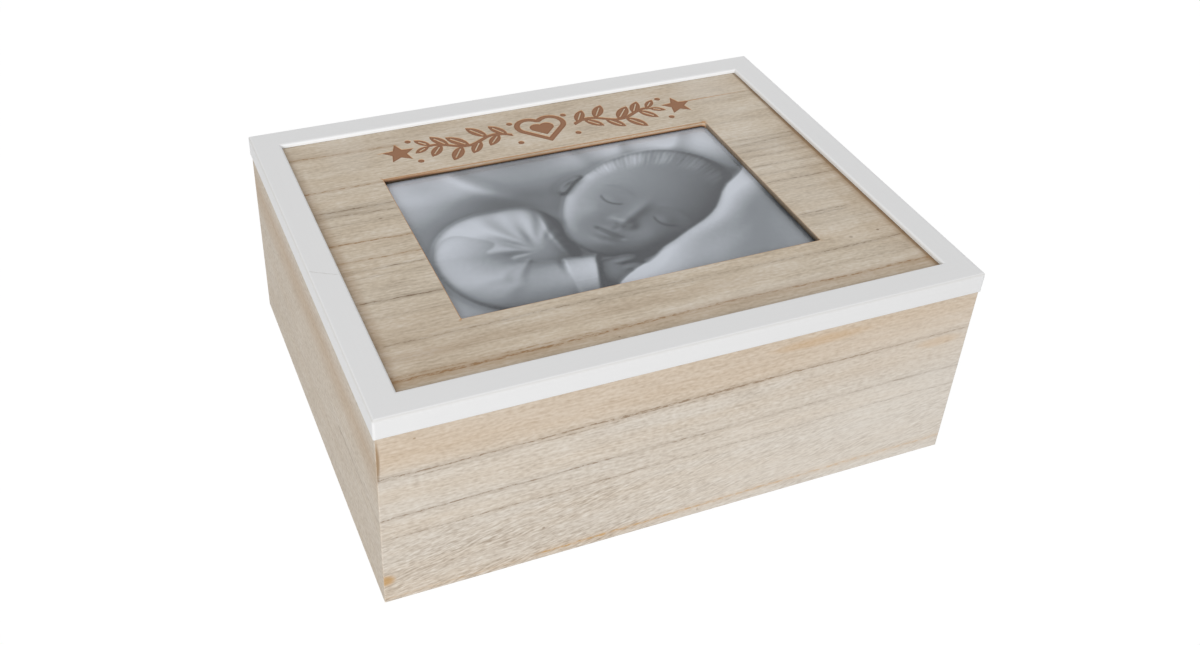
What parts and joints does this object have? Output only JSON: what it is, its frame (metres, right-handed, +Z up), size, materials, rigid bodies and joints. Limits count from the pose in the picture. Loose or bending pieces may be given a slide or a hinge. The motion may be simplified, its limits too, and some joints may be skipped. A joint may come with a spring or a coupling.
{
  "type": "keepsake box",
  "caption": "Mitred wooden keepsake box with a white framed lid on butt hinges; a window in the lid shows a print held from inside by turn buttons.",
  "frame": {"origin": "centre of the base, on the surface that the box stands on", "axes": "+X along the long side to the right, +Y to the hinges at the back, +Z up"},
  "size_m": [0.24, 0.1933, 0.0892],
  "materials": {
    "paulownia": "sanded pale wood with brown growth lines, unvarnished",
    "white_paint": "wood under white satin paint",
    "panel_veneer": "sanded brown-grey veneer, unvarnished",
    "clear_plastic": "clear sheet",
    "print_paper": "satin photo paper",
    "hardboard": "smooth brown fibreboard",
    "brass": "brushed",
    "steel": "bright zinc"
  },
  "bodies": {
    "box": {"front_board": "paulownia", "back_board": "paulownia", "left_board": "paulownia", "right_board": "paulownia", "bottom_panel": "paulownia", "hinge_left_box_leaf": "brass", "hinge_right_box_leaf": "brass", "hinge_left_pin": "brass", "hinge_right_pin": "brass", "hinge_screws_box": "brass"},
    "lid": {"front_rail": "white_paint", "back_rail": "white_paint", "left_rail": "white_paint", "right_rail": "white_paint", "top_panel": "panel_veneer", "carrier_board": "panel_veneer", "clear_pane": "clear_plastic", "photo_print": "print_paper", "backing_board": "hardboard", "hinge_left_lid_leaf": "brass", "hinge_right_lid_leaf": "brass", "hinge_screws_lid": "brass", "turn_button_screws": "steel"},
    "button_front_left": {"turn_button_front_left": "brass"},
    "button_front_right": {"turn_button_front_right": "brass"},
    "button_back_left": {"turn_button_back_left": "brass"},
    "button_back_right": {"turn_button_back_right": "brass"}
  },
  "joints": [
    {"name": "lid_hinge", "type": "hinge", "parent": "box", "child": "lid", "pos_m": [0, 0.0967, 0.0804], "axis": [-1, 0, 0], "range_deg": [0, 180]},
    {"name": "button_front_left_turn", "type": "hinge", "parent": "lid", "child": "button_front_left", "pos_m": [-0.0475, -0.0603, 0.08185], "axis": [0, 0, 1], "continuous": true},
    {"name": "button_front_right_turn", "type": "hinge", "parent": "lid", "child": "button_front_right", "pos_m": [0.0445, -0.0603, 0.08185], "axis": [0, 0, 1], "continuous": true},
    {"name": "button_back_left_turn", "type": "hinge", "parent": "lid", "child": "button_back_left", "pos_m": [-0.0475, 0.0533, 0.08185], "axis": [0, 0, 1], "continuous": true},
    {"name": "button_back_right_turn", "type": "hinge", "parent": "lid", "child": "button_back_right", "pos_m": [0.0445, 0.0533, 0.08185], "axis": [0, 0, 1], "continuous": true}
  ]
}
